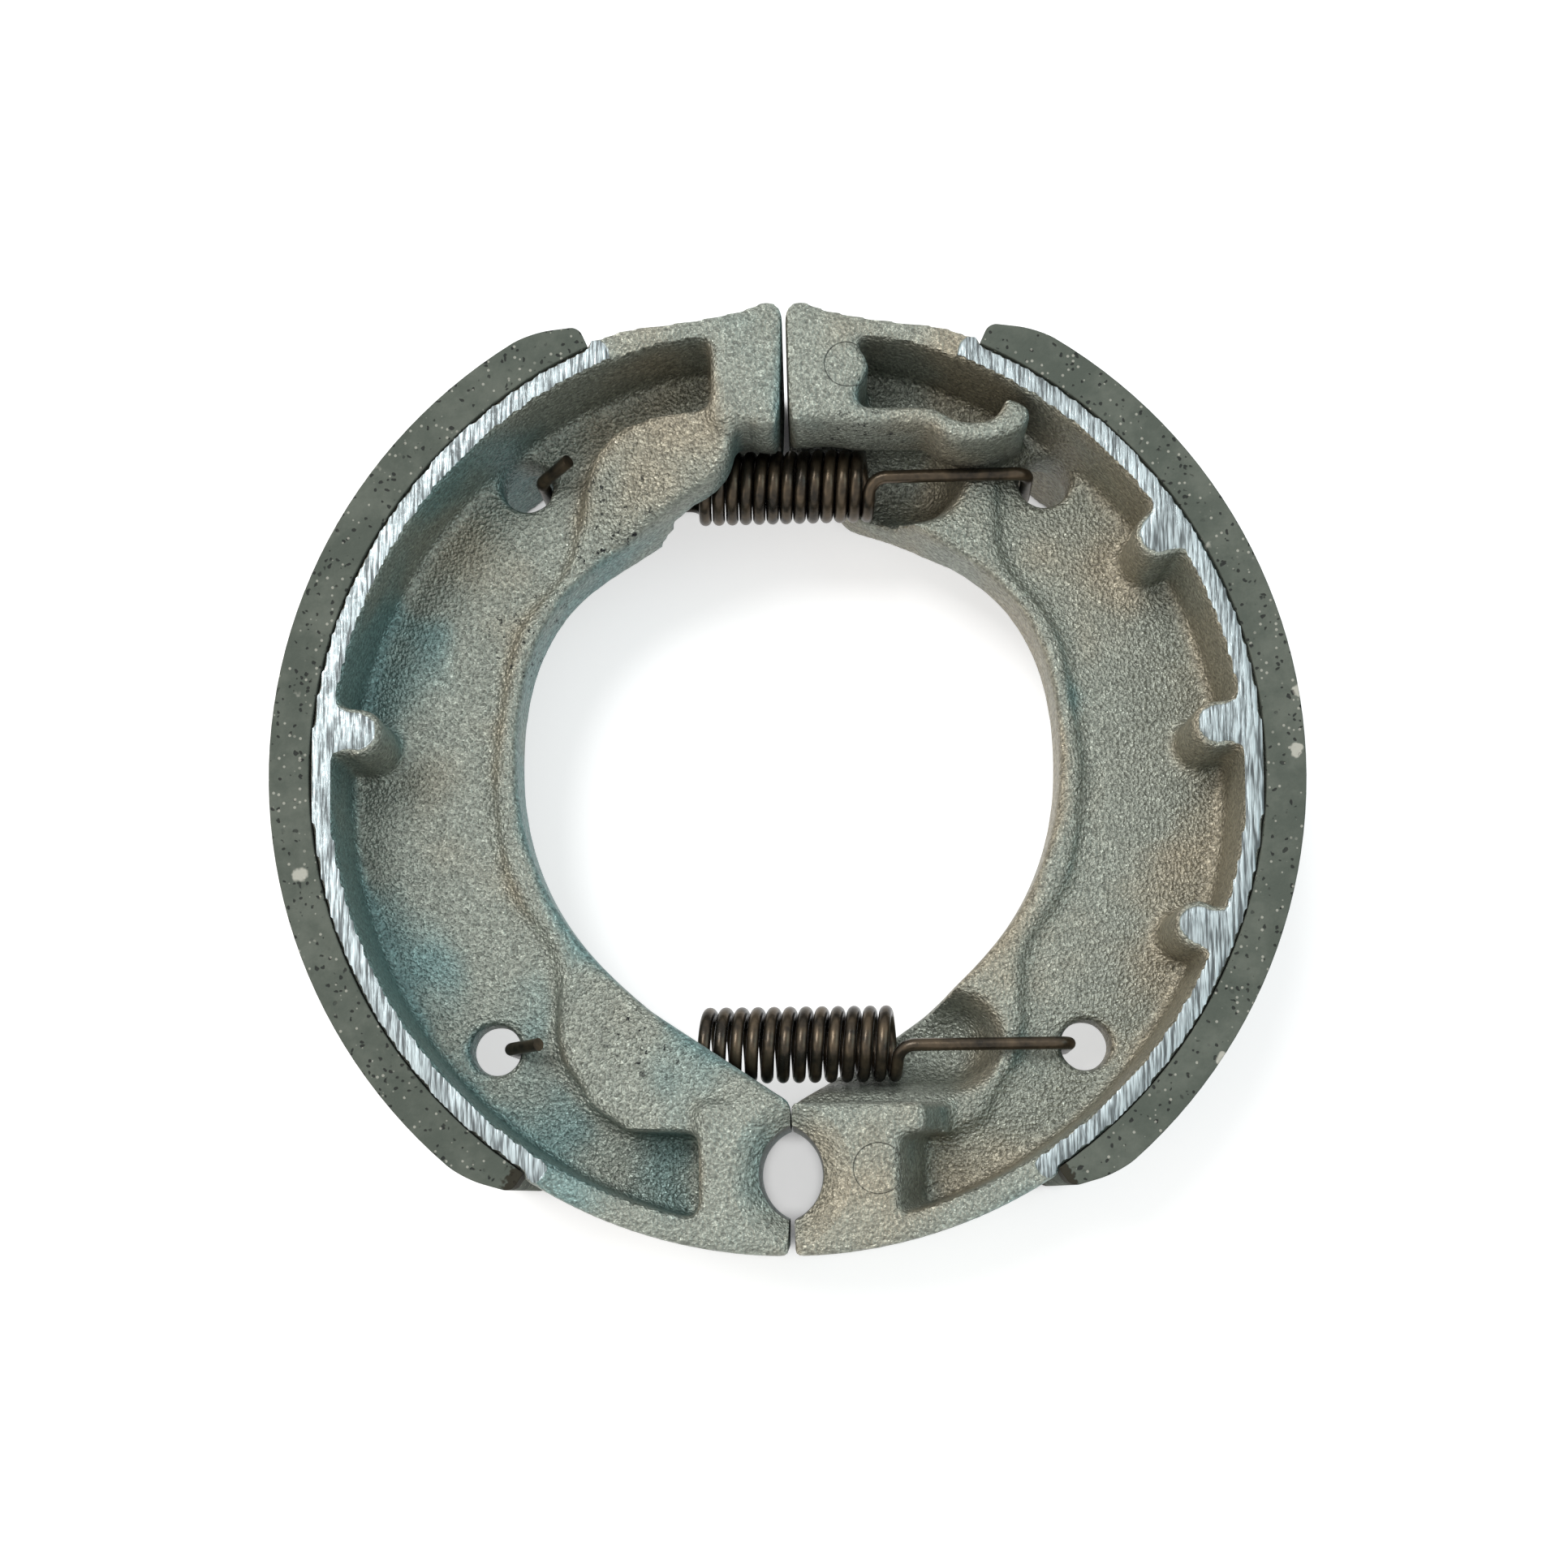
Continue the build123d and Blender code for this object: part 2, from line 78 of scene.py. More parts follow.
class Value:
    """A number that a shader works out for each point: it wraps one output socket.

    Sums and products of values add Math nodes to the material's sheet.
    """

    def __init__(self, sheet: "Sheet", socket: bpy.types.NodeSocket) -> None:
        """Wraps a socket.

        Args:
            sheet: The sheet that the socket's node is on.
            socket: The output socket.
        """
        self.sheet = sheet
        self.socket = socket

    def _math(self, operation: str, *terms: "Term", clamp: bool = False) -> "Value":
        """Adds one Math node.

        Args:
            operation: The node's operation.
            terms: The node's inputs, in order.
            clamp: Whether the result is kept from 0 to 1.

        Returns:
            The result.
        """
        return self.sheet.add("ShaderNodeMath", {"operation": operation, "use_clamp": clamp},
                              {i: term for i, term in enumerate(terms)})["Value"]

    def __add__(self, other: "Term") -> "Value":
        """This value plus another."""
        return self._math("ADD", self, other)

    def __radd__(self, other: "Term") -> "Value":
        """Another value plus this one."""
        return self._math("ADD", other, self)

    def __sub__(self, other: "Term") -> "Value":
        """This value less another."""
        return self._math("SUBTRACT", self, other)

    def __rsub__(self, other: "Term") -> "Value":
        """Another value less this one."""
        return self._math("SUBTRACT", other, self)

    def __mul__(self, other: "Term") -> "Value":
        """This value times another."""
        return self._math("MULTIPLY", self, other)

    def __rmul__(self, other: "Term") -> "Value":
        """Another value times this one."""
        return self._math("MULTIPLY", other, self)

    def __abs__(self) -> "Value":
        """The size of this value, without its sign."""
        return self._math("ABSOLUTE", self)

    def clamped(self) -> "Value":
        """This value, kept from 0 to 1."""
        return self._math("ADD", self, 0.0, clamp=True)

    def step(self, low: float, high: float) -> "Value":
        """A smooth step.

        Args:
            low: Where the step is 0.
            high: Where the step is 1. It may be less than low.

        Returns:
            A value from 0 to 1.
        """
        flip = high < low
        start, end = (high, low) if flip else (low, high)
        rise = self.sheet.add("ShaderNodeMapRange", {"interpolation_type": "SMOOTHSTEP"},
                              {"Value": self, "From Min": start, "From Max": end})["Result"]
        return 1.0 - rise if flip else rise

    def at_least(self, other: "Term") -> "Value":
        """The greater of this value and another."""
        return self._math("MAXIMUM", self, other)


Term = Union[Value, float, int, tuple]


class Node:
    """A shader node on a sheet. Its outputs are read by name."""

    def __init__(self, sheet: "Sheet", node: bpy.types.Node) -> None:
        """Wraps a node.

        Args:
            sheet: The sheet that the node is on.
            node: The node.
        """
        self.sheet = sheet
        self.node = node

    def __getitem__(self, output: str) -> Value:
        """One output of the node.

        Args:
            output: The output's name.

        Returns:
            The output that is in use under that name.
        """
        named = [s for s in self.node.outputs if s.name == output]
        shown = [s for s in named if s.enabled] or named
        return Value(self.sheet, shown[0])


@dataclass(frozen=True)
class Clouds:
    """One sort of cloudy noise.

    The size is that of a cloud, in millimetres. The detail is the number of finer layers,
    and the roughness is their strength.
    """

    size: float
    detail: float = 2.0
    roughness: float = 0.5


class Sheet:
    """The nodes of one material or of the world."""

    def __init__(self, tree: bpy.types.NodeTree) -> None:
        """Empties a node tree and takes it over.

        Args:
            tree: The node tree.
        """
        self.tree = tree
        tree.nodes.clear()

    def add(self, kind: str, settings: dict | None = None, inputs: dict | None = None) -> Node:
        """Adds a node of any type.

        Args:
            kind: The node's type.
            settings: The node's settings, which are set first.
            inputs: Values or links of the node's sockets, by name or by number.

        Returns:
            The node.
        """
        node = self.tree.nodes.new(kind)
        for name, value in (settings or {}).items():
            setattr(node, name, value)
        for name, value in (inputs or {}).items():
            socket = self._input(node, name)
            if isinstance(value, Value):
                self.tree.links.new(value.socket, socket)
            else:
                socket.default_value = value
        return Node(self, node)

    @staticmethod
    def _input(node: bpy.types.Node, name: str | int) -> bpy.types.NodeSocket:
        """Finds an input that is in use.

        Args:
            node: The node.
            name: The socket's name or number.

        Returns:
            The socket.
        """
        if isinstance(name, int):
            return node.inputs[name]
        named = [s for s in node.inputs if s.name == name]
        return ([s for s in named if s.enabled] or named)[0]

    def mix(self, factor: Term, first: Term, second: Term) -> Value:
        """Mixes two colours.

        Args:
            factor: The share of the second colour.
            first: The first colour.
            second: The second colour.

        Returns:
            The mixed colour.
        """
        return self.add("ShaderNodeMix", {"data_type": "RGBA"},
                        {"Factor": factor, "A": first, "B": second})["Result"]

    def tinted(self, colour: Term, shade: Term) -> Value:
        """Multiplies a colour by a value or by another colour.

        Args:
            colour: The colour.
            shade: What it is multiplied by.

        Returns:
            The product.
        """
        return self.add("ShaderNodeMix", {"data_type": "RGBA", "blend_type": "MULTIPLY"},
                        {"Factor": 1.0, "A": colour, "B": shade})["Result"]

    def place(self) -> Value:
        """The point's place in the frame of its object, in metres."""
        return self.add("ShaderNodeTexCoord")["Object"]

    def parts(self, vector: Value) -> tuple[Value, Value, Value]:
        """Takes a vector apart.

        Args:
            vector: The vector.

        Returns:
            Its three parts.
        """
        node = self.add("ShaderNodeSeparateXYZ", inputs={"Vector": vector})
        return node["X"], node["Y"], node["Z"]

    def joined(self, x: Term, y: Term, z: Term) -> Value:
        """Puts three values together as a vector."""
        return self.add("ShaderNodeCombineXYZ", inputs={0: x, 1: y, 2: z})["Vector"]

    def turned(self, vector: Value, turn: float = 0.0, scale: tuple = (1, 1, 1)) -> Value:
        """Scales a place and turns it about Z.

        Args:
            vector: The place.
            turn: The angle, in degrees.
            scale: Scale along each axis.

        Returns:
            The new place.
        """
        return self.add("ShaderNodeMapping", {"vector_type": "POINT"},
                        {"Vector": vector, "Rotation": (0, 0, math.radians(turn)),
                         "Scale": scale})["Vector"]

    def pushed(self, vector: Value, push: Value, reach: float) -> Value:
        """Pushes a place about, which makes the edges of what is drawn there ragged.

        Args:
            vector: The place.
            push: The colour of a noise.
            reach: How far the noise's full strength pushes, in millimetres.

        Returns:
            The new place.
        """
        return self.add("ShaderNodeVectorMath", {"operation": "MULTIPLY_ADD"},
                        {0: push, 1: (reach * MM,) * 3, 2: vector})["Vector"]

    def openness(self, reach: float) -> Value:
        """How open a point lies.

        Args:
            reach: How far away another surface counts, in millimetres.

        Returns:
            1 in the open, and less down to 0 in a slit.
        """
        return self.add("ShaderNodeAmbientOcclusion", {"samples": LOOK_SAMPLES},
                        {"Distance": reach * MM})["AO"]

    def noise(self, vector: Value, clouds: Clouds, output: str = "Fac") -> Value:
        """Cloudy noise.

        Args:
            vector: The place.
            clouds: The sort of noise.
            output: Fac for a value, or Color for a vector.

        Returns:
            The noise, from 0 to 1.
        """
        return self.add("ShaderNodeTexNoise", inputs={
            "Vector": vector, "Scale": 1.0 / (clouds.size * MM), "Detail": clouds.detail,
            "Roughness": clouds.roughness})[output]

    def cells(self, vector: Value, size: float, output: str = "Distance") -> Value:
        """Cells around scattered points.

        Args:
            vector: The place.
            size: Rough size of a cell, in millimetres.
            output: Distance to the cell's point, or the cell's Color.

        Returns:
            The cells' value or colour.
        """
        return self.add("ShaderNodeTexVoronoi", inputs={
            "Vector": vector, "Scale": 1.0 / (size * MM)})[output]

    def near(self, vector: Value, point: tuple, radius: float, soft: float) -> Value:
        """A soft spot.

        Args:
            vector: The place.
            point: The spot's centre, in millimetres.
            radius: The spot's radius, in millimetres.
            soft: Width of the spot's soft edge, in millimetres.

        Returns:
            1 in the spot and 0 outside it.
        """
        centre = tuple(c * MM for c in point)
        distance = self.add("ShaderNodeVectorMath", {"operation": "DISTANCE"},
                            {0: vector, 1: centre})["Value"]
        return distance.step((radius + soft) * MM, radius * MM)

    def bump(self, height: Value, depth: float, under: Value | None = None,
             strength: float = 1.0) -> Value:
        """A normal that follows a height.

        Args:
            height: The height, from 0 to 1.
            depth: What a height of 1 stands for, in millimetres.
            under: The normal beneath, if there is one.
            strength: Strength of the effect.

        Returns:
            The normal.
        """
        inputs = {"Height": height, "Distance": depth * MM, "Strength": strength}
        if under is not None:
            inputs["Normal"] = under
        return self.add("ShaderNodeBump", inputs=inputs)["Normal"]


def new_sheet(name: str) -> tuple[bpy.types.Material, Sheet]:
    """Makes an empty material.

    Args:
        name: The material's name.

    Returns:
        The material and its sheet.
    """
    material = bpy.data.materials.new(name)
    material.use_nodes = True
    return material, Sheet(material.node_tree)


def finish_surface(sheet: Sheet, inputs: dict) -> None:
    """Ends a material with one Principled shader.

    Args:
        sheet: The material's sheet.
        inputs: Values or links of the shader's sockets.
    """
    shader = sheet.add("ShaderNodeBsdfPrincipled", inputs=inputs)
    sheet.add("ShaderNodeOutputMaterial", inputs={"Surface": shader["BSDF"]})


@dataclass(frozen=True)
class Strokes:
    """The fine strokes of a cutter: clouds that are drawn out, and turned by an angle."""

    clouds: Clouds
    angle: float
    scale: tuple

    def height(self, sheet: Sheet, place: Value) -> Value:
        """The strokes' height, from 0 to 1."""
        return sheet.noise(sheet.turned(place, self.angle, self.scale), self.clouds)


@dataclass(frozen=True)
class CastFinish:
    """Grainy die-cast aluminium, bright where its faces were machined.

    Colours are linear, and sizes are in millimetres. A pair of numbers for a step gives
    where the step is 0 and where it is 1. Each crystal of the skin is a facet with a tone
    of its own, partly painted sparkle, and the brightest facets carry a painted glint.
    The relief is what a height of 1 stands for.
    """

    base: tuple = (0.265, 0.285, 0.245, 1)
    # Painted coloured light: brownish and teal tints that stand in for light falling on the skin.
    painted_warm_light: tuple = (0.325, 0.285, 0.21, 1)
    painted_cool_light: tuple = (0.14, 0.25, 0.25, 1)
    machined: tuple = (0.29, 0.335, 0.345, 1)
    pore: tuple = (0.012, 0.014, 0.016, 1)
    metallic: float = 0.55

    # Where the painted coloured light lies: by place, by a cloudy drift and by the way a face
    # turns.
    light_tint_share: float = 0.8
    light_tint_slope: tuple = (5.0, 3.5)
    light_tint_facing: float = 0.75
    light_tint_clouds: Clouds = Clouds(16.0)
    light_tint_drift: float = 3.2
    warm_light_step: tuple = (0.0, 0.9)
    cool_light_step: tuple = (-0.15, -0.95)

    rough_cast: float = 0.44
    rough_machined: float = 0.4
    rough_scatter: float = 0.2
    rough_pore: float = 0.3

    grain: Clouds = Clouds(0.36, detail=1.0)
    grain_step: tuple = (0.25, 0.75)
    dark_shade: float = 0.55
    grain_shade: float = 0.55
    # Each crystal's own tone, partly painted sparkle, and a painted glint on the brightest
    # crystals.
    facet_tone_and_sparkle: float = 0.3
    painted_glint_shade: float = 0.25
    painted_glint_step: tuple = (0.8, 1.0)
    # Painted shade in hollows: how near another surface must lie to darken the skin, and by how
    # much.
    painted_hollow_reach: float = 5.0
    painted_hollow_step: tuple = (0.1, 0.95)
    painted_hollow_shade: float = 0.32

    relief: float = 0.24
    grain_height: float = 1.5
    facet_height: float = 0.12
    stroke_height: float = 0.35
    pore_drop: float = 1.2
    mark_drop: float = 0.5

    machined_level: float = 12.5
    machined_edge: tuple = (0.12, 0.06)
    machined_facing: tuple = (0.85, 0.97)
    one_way: Strokes = Strokes(Clouds(1.6, 3.0, 0.7), 38.0, (6, 0.4, 1))
    other_way: Strokes = Strokes(Clouds(1.8, 2.0, 0.6), -24.0, (5, 0.4, 1))
    way_clouds: Clouds = Clouds(9.0, detail=1.0)
    way_step: tuple = (0.42, 0.56)
    stroke_step: tuple = (0.38, 0.62)
    # How dark and how bright the strokes are drawn: their tone, and painted sheen along them.
    stroke_dark: float = 0.3
    stroke_gain: float = 1.3

    marks: tuple = (((6.7, 43.75), 2.3), ((9.1, -41.8), 2.55))
    mark_edge: float = 0.2
    # Painted shade along the rim of each mark.
    painted_mark_rim_shade: float = 2.6
    mark_level: tuple = (11.0, 11.5)

    pore_spots: tuple = (
        (Side.LEFT, (-20.5, 28.0, 9.0), 6.0),
        (Side.LEFT, (-27.0, 17.0, 3.0), 4.5),
        (Side.LEFT, (-15.0, -26.5, 9.0), 4.0),
        (Side.RIGHT, (8.0, 36.0, 9.0), 3.0),
    )
    pore_fade: float = 3.0
    cracks: Clouds = Clouds(0.9, 4.0, 0.75)
    crack_scale: tuple = (1, 1, 0.7)
    crack_step: tuple = (0.40, 0.345)

    def material(self, side: Side) -> bpy.types.Material:
        """Builds the finish for one shoe.

        Args:
            side: The shoe.

        Returns:
            The material.
        """
        material, sheet = new_sheet(f"cast_aluminium_{side.word}")
        place = sheet.place()
        facing = sheet.parts(sheet.add("ShaderNodeTexCoord")["Normal"])
        grain = sheet.noise(place, self.grain)
        facets = sheet.parts(sheet.cells(place, self.grain.size, "Color"))
        machined = self.cut_faces(sheet, place, facing[2])
        strokes = self.strokes(sheet, place)
        pores = self.pores(sheet, place, side)
        marks = self.pressed(sheet, place, side)

        skin = self.skin(sheet, place, facing[0], grain, facets[0])
        # The cutter strokes' tone on the machined faces, and painted sheen along them.
        stroke_tone_and_sheen = self.stroke_dark + strokes.step(*self.stroke_step) * self.stroke_gain
        bright = sheet.tinted(self.machined, stroke_tone_and_sheen)
        colour = sheet.mix(machined, skin, bright)
        colour = sheet.mix(pores, colour, self.pore)
        # Painted shade: a dark line along the rim of each ejector-pin mark.
        colour = sheet.tinted(colour, 1.0 - (marks * (1.0 - marks)) * self.painted_mark_rim_shade)

        roughness = self.rough_cast + (self.rough_machined - self.rough_cast) * machined
        roughness = roughness + (facets[1] - 0.5) * self.rough_scatter + pores * self.rough_pore

        skin_height = grain * self.grain_height + facets[2] * self.facet_height
        height = (skin_height * (1.0 - machined) + strokes * self.stroke_height * machined
                  - pores * self.pore_drop - marks * self.mark_drop)
        finish_surface(sheet, {"Base Color": colour, "Metallic": self.metallic,
                               "Roughness": roughness,
                               "Normal": sheet.bump(height, self.relief)})
        return material

    def skin(self, sheet: Sheet, place: Value, face_x: Value, grain: Value, facet: Value) -> Value:
        """The colour of the cast skin, with painted coloured light on it, brownish to one side and
        teal to the other, painted sparkle and glints on its crystals, and painted shade in its
        hollows.

        Args:
            sheet: The material's sheet.
            place: The point's place.
            face_x: The X part of the way that the surface faces, which steers the painted coloured
                light.
            grain: The skin's grain.
            facet: A chance value for each crystal.

        Returns:
            The colour.
        """
        x, y, _ = sheet.parts(place)
        cloud = sheet.noise(place, self.light_tint_clouds)
        # Painted coloured light: brownish towards +X and +Y and on faces turned to -X, teal the
        # other way, with a cloudy drift.
        light_lean = (x * self.light_tint_slope[0] + y * self.light_tint_slope[1] + (cloud - 0.5) * self.light_tint_drift
                - face_x * self.light_tint_facing)
        colour = sheet.mix(light_lean.step(*self.warm_light_step) * self.light_tint_share, self.base, self.painted_warm_light)
        colour = sheet.mix(light_lean.step(*self.cool_light_step) * self.light_tint_share, colour, self.painted_cool_light)
        # Grain and each crystal's own tone, partly painted sparkle, with a painted glint on the
        # brightest crystals.
        shade = (self.dark_shade + grain.step(*self.grain_step) * self.grain_shade
                 + facet * self.facet_tone_and_sparkle + facet.step(*self.painted_glint_step) * self.painted_glint_shade)
        colour = sheet.tinted(colour, shade)
        # Painted shade: darker where other surfaces lie near, in hollows and corners.
        lit = sheet.openness(self.painted_hollow_reach).step(*self.painted_hollow_step)
        return sheet.tinted(colour, (1.0 - self.painted_hollow_shade) + lit * self.painted_hollow_shade)

    def cut_faces(self, sheet: Sheet, place: Value, face_z: Value) -> Value:
        """The faces that were machined: the rim's two sides.

        Args:
            sheet: The material's sheet.
            place: The point's place.
            face_z: The Z part of the way that the surface faces.

        Returns:
            1 on a machined face and 0 elsewhere.
        """
        _, _, z = sheet.parts(place)
        low, high = ((self.machined_level - edge) * MM for edge in self.machined_edge)
        return abs(z).step(low, high) * abs(face_z).step(*self.machined_facing)

    def strokes(self, sheet: Sheet, place: Value) -> Value:
        """The fine strokes of a cutter, in two directions.

        Args:
            sheet: The material's sheet.
            place: The point's place.

        Returns:
            The strokes' height, from 0 to 1.
        """
        share = sheet.noise(place, self.way_clouds).step(*self.way_step)
        return (self.one_way.height(sheet, place) * share
                + self.other_way.height(sheet, place) * (1.0 - share))

    def pressed(self, sheet: Sheet, place: Value, side: Side) -> Value:
        """The round marks of the ejector pins.

        Args:
            sheet: The material's sheet.
            place: The point's place.
            side: The shoe.

        Returns:
            1 in a mark and 0 elsewhere.
        """
        x, y, z = sheet.parts(place)
        flat = sheet.joined(x * side.value, y, 0.0)
        marks: Term = 0.0
        for middle, radius in self.marks:
            marks = sheet.near(flat, (*middle, 0.0), radius, self.mark_edge).at_least(marks)
        low, high = (level * MM for level in self.mark_level)
        return marks * (z * side.value).step(low, high)

    def pores(self, sheet: Sheet, place: Value, side: Side) -> Value:
        """Small black pores and cracks of the casting, at a few places.

        Args:
            sheet: The material's sheet.
            place: The point's place.
            side: The shoe.

        Returns:
            1 in a pore and 0 elsewhere.
        """
        where: Term = 0.0
        for shoe, middle, radius in self.pore_spots:
            if shoe is side:
                where = sheet.near(place, middle, radius, self.pore_fade).at_least(where)
        crack = sheet.noise(sheet.turned(place, scale=self.crack_scale), self.cracks)
        return where * crack.step(*self.crack_step)


@dataclass(frozen=True)
class Specks:
    """One sort of speck in the friction material, each at the middle of a cell.

    The edge gives where a speck ends and where it is whole, as distances from the middle in
    cell sizes. The rarity gives the same for the chance value of a cell: above it, the cell
    holds a speck. The cell's size is in millimetres.
    """

    colour: tuple
    strength: float
    cell: float
    edge: tuple
    rarity: tuple

    def mask(self, sheet: Sheet, place: Value) -> Value:
        """Strews the specks.

        Args:
            sheet: The material's sheet.
            place: The point's place.

        Returns:
            1 in a speck and 0 elsewhere.
        """
        chance, _, _ = sheet.parts(sheet.cells(place, self.cell, "Color"))
        return sheet.cells(place, self.cell).step(*self.edge) * chance.step(*self.rarity)


@dataclass(frozen=True)
class LiningFinish:
    """Pressed friction material: dark grey-green, with pale flecks and dark pits.

    Colours are linear, and sizes are in millimetres.
    """

    base: tuple = (0.088, 0.103, 0.085, 1)
    patch: tuple = (0.135, 0.15, 0.125, 1)
    patches: Clouds = Clouds(5.0, 4.0, 0.65)
    patch_step: tuple = (0.35, 0.7)
    pits: Specks = Specks((0.012, 0.013, 0.013, 1), 0.85, 0.6, (0.4, 0.25), (0.72, 0.78))
    flecks: Specks = Specks((0.55, 0.54, 0.47, 1), 0.55, 0.55, (0.34, 0.22), (0.8, 0.86))
    chips: Specks = Specks((0.55, 0.54, 0.47, 1), 0.8, 4.2, (0.2, 0.13), (0.8, 0.86))
    ragged: Clouds = Clouds(1.2)
    ragged_reach: float = 1.2
    glue: tuple = (0.022, 0.018, 0.01, 1)
    glue_share: float = 0.92
    glue_spot: tuple = (27.9, -42.5, 11.2)
    glue_radius: float = 2.1
    glue_edge: float = 0.3
    glue_reach: float = 3.0
    roughness: float = 0.86
    gloss: float = 0.3
    grain: Clouds = Clouds(0.7, 3.0, 0.6)
    pit_drop: float = 0.8
    fleck_height: float = 0.15
    relief: float = 0.16
    relief_strength: float = 0.8
    worn_radius: float = 0.3

    def material(self) -> bpy.types.Material:
        """Builds the finish.

        Returns:
            The material.
        """
        material, sheet = new_sheet("friction_lining")
        place = sheet.place()
        cloud = sheet.noise(place, self.patches)
        colour = sheet.mix(cloud.step(*self.patch_step), self.base, self.patch)

        push = sheet.noise(place, self.ragged, "Color")
        ragged = sheet.pushed(place, push, self.ragged_reach)
        pits = self.pits.mask(sheet, ragged)
        flecks = self.flecks.mask(sheet, place)
        chips = self.chips.mask(sheet, ragged)
        for specks, mask in ((self.pits, pits), (self.flecks, flecks), (self.chips, chips)):
            colour = sheet.mix(mask * specks.strength, colour, specks.colour)
        glued = self.glue_beads(sheet, place, push)
        colour = sheet.mix(glued * self.glue_share, colour, self.glue)

        worn = sheet.add("ShaderNodeBevel", {"samples": LOOK_SAMPLES},
                         {"Radius": self.worn_radius * MM})["Normal"]
        height = (sheet.noise(place, self.grain) - pits * self.pit_drop
                  + flecks * self.fleck_height + glued)
        normal = sheet.bump(height, self.relief, worn, self.relief_strength)
        finish_surface(sheet, {"Base Color": colour, "Roughness": self.roughness,
                               "Specular IOR Level": self.gloss, "Normal": normal})
        return material

    def glue_beads(self, sheet: Sheet, place: Value, push: Value) -> Value:
        """The glue that was pressed out at the lower end of each lining, on both sides.

        Args:
            sheet: The material's sheet.
            place: The point's place.
            push: The colour of a noise, which makes the bead ragged.

        Returns:
            1 in the glue and 0 elsewhere.
        """
        x, y, z = sheet.parts(place)
        ragged = sheet.pushed(sheet.joined(abs(x), y, abs(z)), push, self.glue_reach)
        middle = tuple(part + self.glue_reach / 2 for part in self.glue_spot)
        return sheet.near(ragged, middle, self.glue_radius, self.glue_edge)


@dataclass(frozen=True)
class WireFinish:
    """Dark oiled spring wire, bronze where it is rubbed.

    Colours are linear, and sizes are in millimetres.
    """

    dark: tuple = (0.028, 0.024, 0.019, 1)
    bronze: tuple = (0.105, 0.078, 0.05, 1)
    metallic: float = 0.75
    roughness: float = 0.3
    rough_scatter: float = 0.2
    patches: Clouds = Clouds(3.5, 3.0, 0.6)
    patch_step: tuple = (0.3, 0.7)
    grain: Clouds = Clouds(0.5)
    grain_share: float = 0.6
    relief: float = 0.02
    # Painted shade between the coils: how near other wire must lie to darken it, and by how much.
    painted_hollow_reach: float = 1.6
    painted_hollow_step: tuple = (0.25, 0.9)
    painted_hollow_shade: float = 0.88

    def material(self) -> bpy.types.Material:
        """Builds the finish.

        Returns:
            The material.
        """
        material, sheet = new_sheet("spring_wire")
        place = sheet.place()
        cloud = sheet.noise(place, self.patches)
        grain = sheet.noise(place, self.grain)
        rubbed = (cloud.step(*self.patch_step) + (grain - 0.5) * self.grain_share).clamped()
        colour = sheet.mix(rubbed, self.dark, self.bronze)
        # Painted shade: darker between the coils, where other wire lies near.
        lit = sheet.openness(self.painted_hollow_reach).step(*self.painted_hollow_step)
        colour = sheet.tinted(colour, (1.0 - self.painted_hollow_shade) + lit * self.painted_hollow_shade)
        finish_surface(sheet, {"Base Color": colour, "Metallic": self.metallic,
                               "Roughness": self.roughness + (cloud - 0.5) * self.rough_scatter,
                               "Normal": sheet.bump(grain, self.relief)})
        return material


